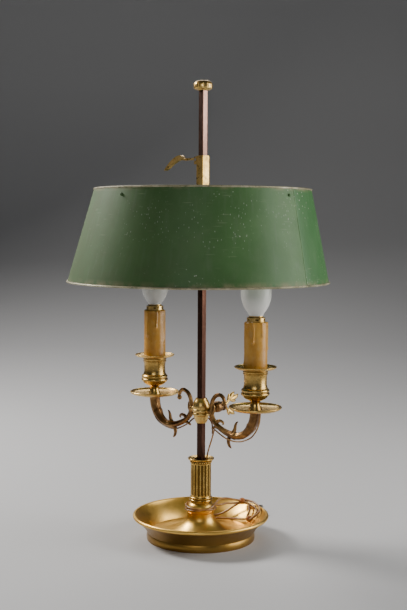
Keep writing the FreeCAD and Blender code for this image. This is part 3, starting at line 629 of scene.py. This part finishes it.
# second pass along the rim and back up from the lower knot
route += [P(48.0, 48.6, 30.2), P(58.4, 43.0, 31.0), P(67.0, 33.0, 29.6), P(69.6, 23.0, 26.8), P(67.0, 15.4, 23.8),
          P(61.6, 13.4, 19.0), P(56.2, 16.6, 16.2), P(56.6, 23.4, 17.8), P(60.8, 31.6, 24.6), P(60.4, 38.4, 30.4), P(55.4, 44.2, 33.0)]
route += [P(47.0, 45.4, 30.8), P(38.6, 39.4, 31.6), P(31.4, 33.0, 33.8), P(24.6, 27.0, 33.0), P(17.0, 22.4, 34.2), P(9.0, 20.2, 35.6)]
route += [P(3.0, 20.0, 35.2), P(-2.6, 21.6, 31.4), P(-5.4, 26.8, 24.6), P(-6.4, 34.6, 17.4), P(-5.6, 44.0, 14.6), P(-4.0, 54.0, 14.2),
          P(-2.4, 63.0, 18.4), P(-1.2, 71.0, 26.4), P(-0.6, 77.4, 33.8), P(-0.2, 84.6, 34.6), P(0.0, 89.6, 28.4),
          P(0.4, 91.6, 19.0), P(1.0, 92.6, 10.6), P(3.4, 94.6, 4.4)]
# the put-away length, wound in a small round coil behind the dish
cells = [(2, 0), (1, 0), (0, 0), (0, 1), (1, 1), (2, 1), (2, 2), (1, 2), (1, 3), (2, 3)]
NT = 14
for ti, (cc, ll) in enumerate(cells):
    for k in range(NT):
        f = k / NT
        nx = cells[min(ti + 1, len(cells) - 1)]
        e = max(0.0, (f - 0.75) / 0.25)
        r = 12.5 + 2.62 * (cc + (nx[0] - cc) * e)
        z = 1.95 + 2.62 * (ll + (nx[1] - ll) * e)
        if ti == 0 and k < 2:
            continue
        if ti == len(cells) - 1 and k > 11:
            break
        al = math.radians(-82.0 + 360.0 * f)
        route.append(P(r * math.cos(al), 114.0 + r * math.sin(al), z))
route += [P(17.0, 107.0, 9.6), P(20.6, 110.6, 8.4), P(24.8, 111.9, 6.8), P(28.0, 112.0, 6.5)]

SUPPLY_D = 2.6


def curve_cord(name, pts, d, mat):
    cu = bpy.data.curves.new(name, "CURVE")
    cu.dimensions = "3D"
    sp = cu.splines.new("NURBS")
    sp.points.add(len(pts) - 1)
    for i, p in enumerate(pts):
        sp.points[i].co = (p[0] * MM, p[1] * MM, p[2] * MM, 1)
    sp.order_u = 3
    sp.use_endpoint_u = True
    sp.resolution_u = 8
    cu.bevel_depth = d * MM / 2
    cu.bevel_resolution = 4
    cu.use_fill_caps = True
    o = bpy.data.objects.new(name, cu)
    scene.collection.objects.link(o)
    cu.materials.append(mat)
    return o


def line_of(pts):
    """The smooth line of a route, read from its curve with no thickness."""
    cu = bpy.data.curves.new("tmp_line", "CURVE")
    cu.dimensions = "3D"
    sp = cu.splines.new("NURBS")
    sp.points.add(len(pts) - 1)
    for i, p in enumerate(pts):
        sp.points[i].co = (p[0] * MM, p[1] * MM, p[2] * MM, 1)
    sp.order_u = 3
    sp.use_endpoint_u = True
    sp.resolution_u = 8
    o = bpy.data.objects.new("tmp_line", cu)
    scene.collection.objects.link(o)
    bpy.context.view_layer.update()
    me = bpy.data.meshes.new_from_object(o)
    out = [v.co.copy() for v in me.vertices]
    bpy.data.objects.remove(o)
    bpy.data.meshes.remove(me)
    return out


supply_line = line_of(route)
SUPPLY_LEN = sum((supply_line[i + 1] - supply_line[i]).length for i in range(len(supply_line) - 1))
print("supply flex length m", round(SUPPLY_LEN, 4), "points", len(route))
supply = curve_cord("supply_flex", route, SUPPLY_D, M["flex"])
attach(supply, "stand")
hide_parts("cord_exit", "cord_wraps", "cord_strand_upper", "cord_strand_lower", "cord_hank", "cord_tail", "cord_coil", "plug_lead")

flex_pts = [(24.4, -3.4, 135.8), (19.6, -1.4, 125.6), (13.6, 1.6, 116.4), (9.2, 2.4, 106.6), (6.7, 2.6, 97.0), (6.3, 2.6, 88.0), (6.3, 2.6, 80.0)]
flex_line = line_of(flex_pts)


def tube_mesh(name, line, d, mat, n=12):
    """Round tube along a line of metre points, without twist."""
    verts, faces = [], []
    m = len(line)
    t0 = (line[1] - line[0]).normalized()
    s = t0.orthogonal().normalized()
    for i, p in enumerate(line):
        t = (line[min(m - 1, i + 1)] - line[max(0, i - 1)]).normalized()
        s = (s - t * s.dot(t)).normalized()
        u = t.cross(s)
        for k in range(n):
            th = 2 * math.pi * k / n
            v = p / MM + (s * math.cos(th) + u * math.sin(th)) * (d / 2)
            verts.append((v.x, v.y, v.z))
    for i in range(m - 1):
        for k in range(n):
            l = (k + 1) % n
            faces.append((i * n + k, i * n + l, (i + 1) * n + l, (i + 1) * n + k))
    faces.append(tuple(range(n))[::-1])
    faces.append(tuple((m - 1) * n + k for k in range(n)))
    return obj_from(name, verts, faces, mat)


flex = tube_mesh("arm_flex_tube", flex_line, 1.9, M["flex"])
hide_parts("arm_flex")
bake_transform(flex)

# ---------------------------------------------------------------------------
# stage and light
# ---------------------------------------------------------------------------


def stage_mat():
    """Pale paper with painted shade: grey where it rises behind and lighter again high up, for the fall-off of the
    light.
    """
    m = Mat("pale_floor")
    n1 = m.noise(3, 3, 0.5)
    x, y, z = m.xyz()
    dep = m.math("ADD", m.math("MULTIPLY", x, EV.x), m.math("MULTIPLY", y, EV.y))
    run = m.math("MULTIPLY", m.math("ADD", dep, m.math("MULTIPLY", z, 2.0)), 0.2, clamp=True)
    run = m.math("ADD", run, m.math("MULTIPLY", m.math("SUBTRACT", n1, 0.5), 0.012))
    m.base(m.ramp(run, [(0.0, (0.60, 0.60, 0.61)), (0.14, (0.52, 0.52, 0.53)), (0.34, (0.44, 0.44, 0.45)), (0.62, (0.48, 0.48, 0.485)), (1.0, (0.56, 0.56, 0.56))]))
    m.rough(0.66)
    m.set("Specular IOR Level", 0.2)
    return m.m


fm = stage_mat()
sv, sf = [], []
rows = [(-1500, 0), (200, 0), (900, 0.01), (1400, 26), (1900, 110), (2350, 270), (2750, 520), (3050, 880), (3230, 1400), (3300, 2100), (3320, 4200)]
rows = catmull(rows, 10)
for dep, z in [tuple(r) for r in rows]:
    for lat in (-3600, 3600):
        sv.append(P(lat, dep, max(0.0, z) if dep > 950 else 0.0))
for i in range(len(rows) - 1):
    sf.append((2 * i, 2 * i + 1, 2 * i + 3, 2 * i + 2))
floor = obj_from("floor_sweep", sv, sf, fm)


def area(name, loc, target, size, power, colour=(1, 1, 1), size_y=None):
    l = bpy.data.lights.new(name, "AREA")
    l.energy = power
    l.color = colour
    l.shape = "RECTANGLE"
    l.size = size
    l.size_y = size_y or size
    o = bpy.data.objects.new(name, l)
    scene.collection.objects.link(o)
    loc = Vector(P(*loc)) * MM
    tgt = Vector(P(*target)) * MM
    o.location = loc
    o.rotation_mode = "QUATERNION"
    o.rotation_quaternion = (tgt - loc).to_track_quat("-Z", "Y")
    return o


area("key_left", (-1120, 640, 1150), (0, 0, 200), 0.45, 30, (1.0, 0.97, 0.93), 0.45)
area("soft_right", (1280, -160, 560), (0, 0, 300), 0.95, 17, (1.0, 0.985, 0.96), 1.15)
area("back_soft", (-250, 1450, 1300), (0, 0, 10), 1.2, 9, (1.0, 0.98, 0.95), 0.6)
area("front_fill", (-350, -1900, 900), (0, 0, 240), 0.9, 5, (1, 1, 1), 0.6)
w = bpy.data.worlds.new("World")
scene.world = w
w.use_nodes = True
bg = w.node_tree.nodes["Background"]
bg.inputs["Color"].default_value = (0.50, 0.52, 0.56, 1)
bg.inputs["Strength"].default_value = 0.09

# ---------------------------------------------------------------------------
# finishes on the construction's own pieces
# ---------------------------------------------------------------------------


def give(node, mat):
    o = NODES[node]
    if not o.material_slots:
        o.data.materials.append(mat)
    for s_ in o.material_slots:
        s_.link = "OBJECT"
        s_.material = mat


for n_ in NODES:
    give(n_, M["brass"])
give("base_dish", M["brass_dish"])
for n_ in ("column", "pearl_ring", "column_flange"):
    give(n_, M["brass_col"])
give("square_rod", M["rod"])
for n_ in ("rod_washer", "rod_nut", "lever_pin", "lever_spring", "clamp_screw", "plug_pins", "filament_stem_left", "filament_stem_right"):
    give(n_, M["steel"])
for s_ in ("left", "right"):
    give("arm_" + s_, M["brass_arm"])
    give("candle_cup_" + s_, M["brass_cup"])
    give("drip_pan_" + s_, M["brass"])
    give("upper_pan_" + s_, M["brass"])
    give("candle_tube_" + s_, M["candle"])
    give("holder_insulator_" + s_, M["porcelain"])
    give("arm_wire_" + s_, M["flex"] if s_ == "right" else M["brass_arm"])
give("bulb_glass_left", M["bulb_l"])
give("bulb_glass_right", M["bulb_r"])
give("column_wire", M["flex"])
give("cord_knots", M["tie"])
give("coil_tie", M["tie"])
give("plug_body", M["plug"])
give("shade_body", M["shade"])
give("shade_top_rim", M["rim"])
give("shade_bottom_rim", M["rim"])
give("shade_rivets", M["shade"])
give("key_boss", M["brass_arm"])

# ---------------------------------------------------------------------------
# cast arms with ridged stems and leaves
# ---------------------------------------------------------------------------
LIFT = 3.4
KZ = 153.0 + LIFT
ARM_LINE = [(37.2, 166.9, 1.9), (34.4, 171.9, 2.15), (29.4, 174.1, 2.3), (22.9, 171.7, 2.35), (18.1, 165.0, 2.35),
            (16.4, 155.0, 2.45), (18.6, 145.6, 2.65), (24.2, 138.7, 2.9), (32.2, 134.0, 3.2), (42.2, 130.3, 3.6),
            (54.0, 128.6, 3.9), (63.8, 131.2, 4.3), (71.2, 137.4, 4.9), (76.7, 146.2, 5.6), (79.6, 155.0, 6.2), (80.0, 161.5, 6.6)]
SPROUTS = [
    # (rows of t, z, r), flatness across the arm, ridge depth
    ([(48.0, 129.6, 3.4), (50.6, 133.0, 2.6), (52.2, 137.0, 2.0), (52.8, 141.0, 1.6), (54.6, 144.6, 1.1), (56.2, 145.6, 0.5)], 1.0, 0.10),
    ([(47.6, 129.4, 3.4), (45.0, 126.4, 2.7), (43.2, 122.6, 2.2), (43.2, 118.8, 1.9), (44.6, 115.4, 1.5), (46.8, 113.4, 0.7)], 1.0, 0.10),
    ([(31.0, 135.0, 2.6), (27.0, 134.8, 2.0), (22.8, 134.8, 1.5), (19.4, 133.4, 1.6), (17.8, 132.4, 1.0)], 1.0, 0.08),
    ([(22.6, 138.8, 2.8), (26.0, 141.6, 2.3), (30.2, 143.4, 1.9), (34.0, 142.6, 1.5), (35.4, 140.4, 1.1), (34.0, 139.2, 0.6)], 1.0, 0.10),
    ([(24.0, 138.6, 2.6), (20.0, 141.4, 2.0), (16.6, 144.2, 1.7), (14.2, 147.4, 1.2)], 1.0, 0.06),
    ([(60.0, 129.0, 3.6), (64.6, 129.4, 2.4), (68.6, 132.4, 1.6), (71.0, 136.4, 0.7)], 0.9, 0.06),
    ([(18.0, 150.0, 2.2), (20.4, 154.0, 1.7), (20.6, 158.4, 1.2), (19.6, 161.8, 0.5)], 1.0, 0.06),
]


def reach(s_, t):
    return t + (4.5 * min(1.0, max(0.0, (t - 30.0) / 50.0)) if s_ > 0 else 0.0)


for s_, side in ((1, "right"), (-1, "left")):
    parts = []
    pts2, rr = smooth_line([(reach(s_, t), z + LIFT, r) for t, z, r in ARM_LINE], 7)
    path = [(s_ * t, 0.0, z) for t, z in pts2]
    rr = list(rr)
    # leaf sheaths: swellings that end in a crisp lip along the stem
    for k in range(len(rr)):
        f = k / (len(rr) - 1)
        for c0, wdt, amp in ((0.66, 0.055, 0.22), (0.36, 0.045, 0.22), (0.84, 0.05, 0.13)):
            u = (f - c0) / wdt
            if -1.0 < u < 0.0:
                rr[k] *= 1.0 + amp * (1.0 + u)
            elif 0.0 <= u < 0.18:
                rr[k] *= 1.0 + amp * (1.0 - u / 0.18)
    stem_ = sweep("arm_stem_" + side, path, rr, M["brass_arm"], n=30, ridge=0.085, lobes=5, phase=0.6, angle=60)
    # the seat under the pan is cut flat
    bm = bmesh.new()
    bm.from_mesh(stem_.data)
    geom = bm.verts[:] + bm.edges[:] + bm.faces[:]
    res = bmesh.ops.bisect_plane(bm, geom=geom, plane_co=(0, 0, 0.16498), plane_no=(0, 0, 1), clear_outer=True)
    cut_edges = [e for e in res["geom_cut"] if isinstance(e, bmesh.types.BMEdge)]
    near = [e for e in cut_edges if all(abs(v.co.x) > 0.07 for v in e.verts)]
    bmesh.ops.holes_fill(bm, edges=near)
    bm.to_mesh(stem_.data)
    bm.free()
    parts.append(stem_)
    # the scroll's upper turn, above the cut height
    upper_rows = [r_ for r_ in ARM_LINE[:6]]
    pts3, r3 = smooth_line([(t, z + LIFT, r) for t, z, r in upper_rows], 7)
    parts.append(sweep("arm_scroll_" + side, [(s_ * t, 0.0, z) for t, z in pts3], [v_ * 1.003 for v_ in r3], M["brass_arm"], n=30, ridge=0.085, lobes=5, phase=0.6, angle=60))
    for rows_, fl, rg in SPROUTS:
        q2, q3 = smooth_line([(reach(s_, t), z + LIFT, r) for t, z, r in rows_], 5)
        parts.append(sweep("arm_leaf", [(s_ * t, 0.0, z) for t, z in q2], q3, M["brass_arm"], n=18, ridge=rg, lobes=3, phase=1.57, flat=fl, angle=60))
    # curled end: a small ball with an eye
    ball = [(0.0, -2.9), (1.2, -2.7), (2.2, -1.9), (2.9, -0.5), (2.9, 0.5), (2.2, 1.9), (1.2, 2.7), (0.0, 2.9)]
    b_ = lathe("arm_curl", [(max(0.02, r), z) for r, z in catmull(ball, 3)], M["brass_arm"], n=26)
    b_.data.transform(Matrix.Translation((s_ * 0.0364, 0, 0.1638 + LIFT * MM)) @ Matrix.Rotation(math.radians(90), 4, "X"))
    parts.append(b_)
    # tenon collar against the knop
    col_ = lathe("arm_collar", [(0.02, 9.4), (1.9, 9.4), (1.9, 13.2), (3.3, 13.2), (3.8, 13.9), (3.8, 15.6), (3.3, 16.4), (0.02, 16.6)], M["brass_arm"], n=32)
    col_.data.transform(Matrix.Translation((0, 0, KZ * MM)) @ Matrix.Rotation(math.radians(90 * s_), 4, "Y"))
    parts.append(col_)
    arm = join(parts, "cast_arm_" + side)
    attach(arm, "candelabra")
    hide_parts("arm_" + side)

# ---------------------------------------------------------------------------
# candle tubes with runs of wax
# ---------------------------------------------------------------------------
CAMA = math.radians(-47.0)
for s_, side, up_ in ((1, "right", 0.0), (-1, "left", 4.4)):
    cx = s_ * reach(s_, 80.0)
    z0, z1 = 211.0 + LIFT, 264.4 + up_ + LIFT
    runs = ([(-16, 0.44, 1.5, 1.9), (28, 0.30, 0.9, 2.4), (-70, 0.93, 1.1, 3.0), (100, 0.6, 1.2, 2.4), (175, 0.8, 1.3, 2.2), (-140, 0.5, 1.2, 2.4)] if s_ > 0 else
            [(10, 0.38, 1.1, 2.0), (-40, 0.55, 0.8, 2.4), (62, 0.7, 1.0, 2.4), (130, 0.5, 1.2, 2.3), (-120, 0.75, 1.3, 2.2)])
    nz = 64
    prof_ = [(10.92, z0), (13.3, z0)]
    prof_ += [(13.45 - 0.25 * (k / nz), z0 + (z1 - 1.5 - z0) * k / nz) for k in range(1, nz + 1)]
    prof_ += [(13.0, z1 - 0.8), (12.6, z1 - 0.2), (12.1, z1), (11.4, z1 - 0.1), (10.92, z1 - 0.5)]

    def wax(r, z, a_, k, runs=runs, z0=z0, z1=z1):
        if r < 11.5:
            return r, z
        f = (z1 - z) / (z1 - z0)
        dr = 0.16 * noise.noise(Vector((math.cos(a_) * 2.2, math.sin(a_) * 2.2, z * 0.16))) + 0.10 * math.sin(a_ * 3 + 1.0)
        top = max(0.0, 1.0 - f / 0.06)
        dr += 0.25 * top * (0.5 + 0.5 * math.sin(a_ * 5 + 0.7))
        for deg, ln, amp, wd in runs:
            c_ = CAMA + math.radians(deg)
            d_ = math.atan2(math.sin(a_ - c_), math.cos(a_ - c_)) * r
            d_ += 0.5 * math.sin(f * 9 + deg)
            end = 1.0 if f < ln else math.exp(-((f - ln) / 0.022) ** 2)
            head = 1.0 + 0.75 * math.exp(-((f - ln + 0.03) / 0.035) ** 2)
            w_ = wd * (0.62 + 0.38 * head)
            dr += amp * 0.85 * head * end * math.exp(-(d_ / (w_ * 0.55)) ** 2)
        return r + max(-0.15, dr), z
    c_tube = lathe("wax_tube_" + side, prof_, M["candle"], cx=cx, n=150, angle=50, wob=wax)
    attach(c_tube, "candelabra")
    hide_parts("candle_tube_" + side)

# ---------------------------------------------------------------------------
# leafy wing of the clamp key
# ---------------------------------------------------------------------------
WING = [
    [(41.0, 0.0, 2.2), (44.0, 1.0, 2.2), (47.0, 3.4, 2.0), (50.0, 6.4, 2.2)],
    [(41.0, 0.0, 2.2), (44.0, -2.0, 2.2), (47.0, -5.0, 2.0), (50.0, -7.2, 2.2)],
    [(49.0, 5.4, 2.0), (52.0, 8.6, 3.0), (55.4, 11.6, 3.3), (58.2, 14.0, 2.0), (59.4, 15.2, 0.7)],
    [(49.0, 5.4, 2.0), (53.6, 6.6, 2.6), (58.6, 7.6, 3.4), (63.6, 9.4, 2.8), (66.6, 11.4, 0.8)],
    [(48.0, 5.0, 1.8), (49.2, 8.8, 2.3), (49.6, 11.6, 1.8), (49.0, 13.6, 0.6)],
    [(52.0, 6.0, 1.8), (56.4, 4.6, 2.2), (60.0, 3.8, 1.7), (62.4, 3.8, 0.6)],
    [(49.0, -6.4, 2.0), (52.4, -8.6, 2.9), (56.0, -10.4, 3.0), (59.0, -12.0, 1.8), (60.2, -12.8, 0.6)],
    [(49.0, -6.4, 2.0), (52.6, -5.8, 2.4), (56.8, -6.2, 2.6), (60.4, -7.6, 1.4), (61.4, -8.2, 0.6)],
    [(48.0, -5.6, 1.8), (48.6, -8.8, 2.1), (49.8, -11.4, 1.6), (51.2, -12.8, 0.6)],
]
wp_ = []
for rows_ in WING:
    q2, q3 = smooth_line(rows_, 5)
    wp_.append(sweep("wing_leaf", [(0.0, t, KZ + z) for t, z in q2], q3, M["brass"], up=(1, 0, 0), n=18, ridge=0.12, lobes=2, phase=3.14, flat=0.62, angle=60))
wing_ = join(wp_, "key_leaf_wing")
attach(wing_, "key")
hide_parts("key_wing")

# ---------------------------------------------------------------------------
# lap seam of the shade: the overlapping edge of the sheet stands a little proud
# ---------------------------------------------------------------------------


def shade_pt(a_, z, proud):
    """A point on the leaning shade at angle a_ and drawn height z."""
    r = 155.0 - 27.0 * (z - 306.4) / 110.3 + proud
    o = EL * (0.0462 * (z - 405.8))
    return (o.x + r * math.cos(a_), o.y + r * math.sin(a_), z + LIFT)


sv, sf = [], []
cols = [(SEAM, 0.04), (SEAM, 0.36), (SEAM + 0.012, 0.42), (SEAM + 0.05, 0.34), (SEAM + 0.09, 0.20), (SEAM + 0.12, 0.04)]
nr = 24
for k in range(nr + 1):
    z = 308.9 + (414.4 - 308.9) * k / nr
    for a_, pr in cols:
        wv = 0.10 * noise.noise(Vector((z * 0.06, a_ * 9, 0)))
        sv.append(shade_pt(a_, z, pr * (1.0 + wv)))
nc = len(cols)
for k in range(nr):
    for c_ in range(nc - 1):
        sf.append((k * nc + c_, k * nc + c_ + 1, (k + 1) * nc + c_ + 1, (k + 1) * nc + c_))
    sf.append((k * nc + nc - 1, k * nc, (k + 1) * nc, (k + 1) * nc + nc - 1))
sf.append(tuple(range(nc)))
sf.append(tuple(range(nr * nc, nr * nc + nc))[::-1])
seam = obj_from("shade_lap_seam", sv, sf, M["shade"], angle=30)
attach(seam, "shade")
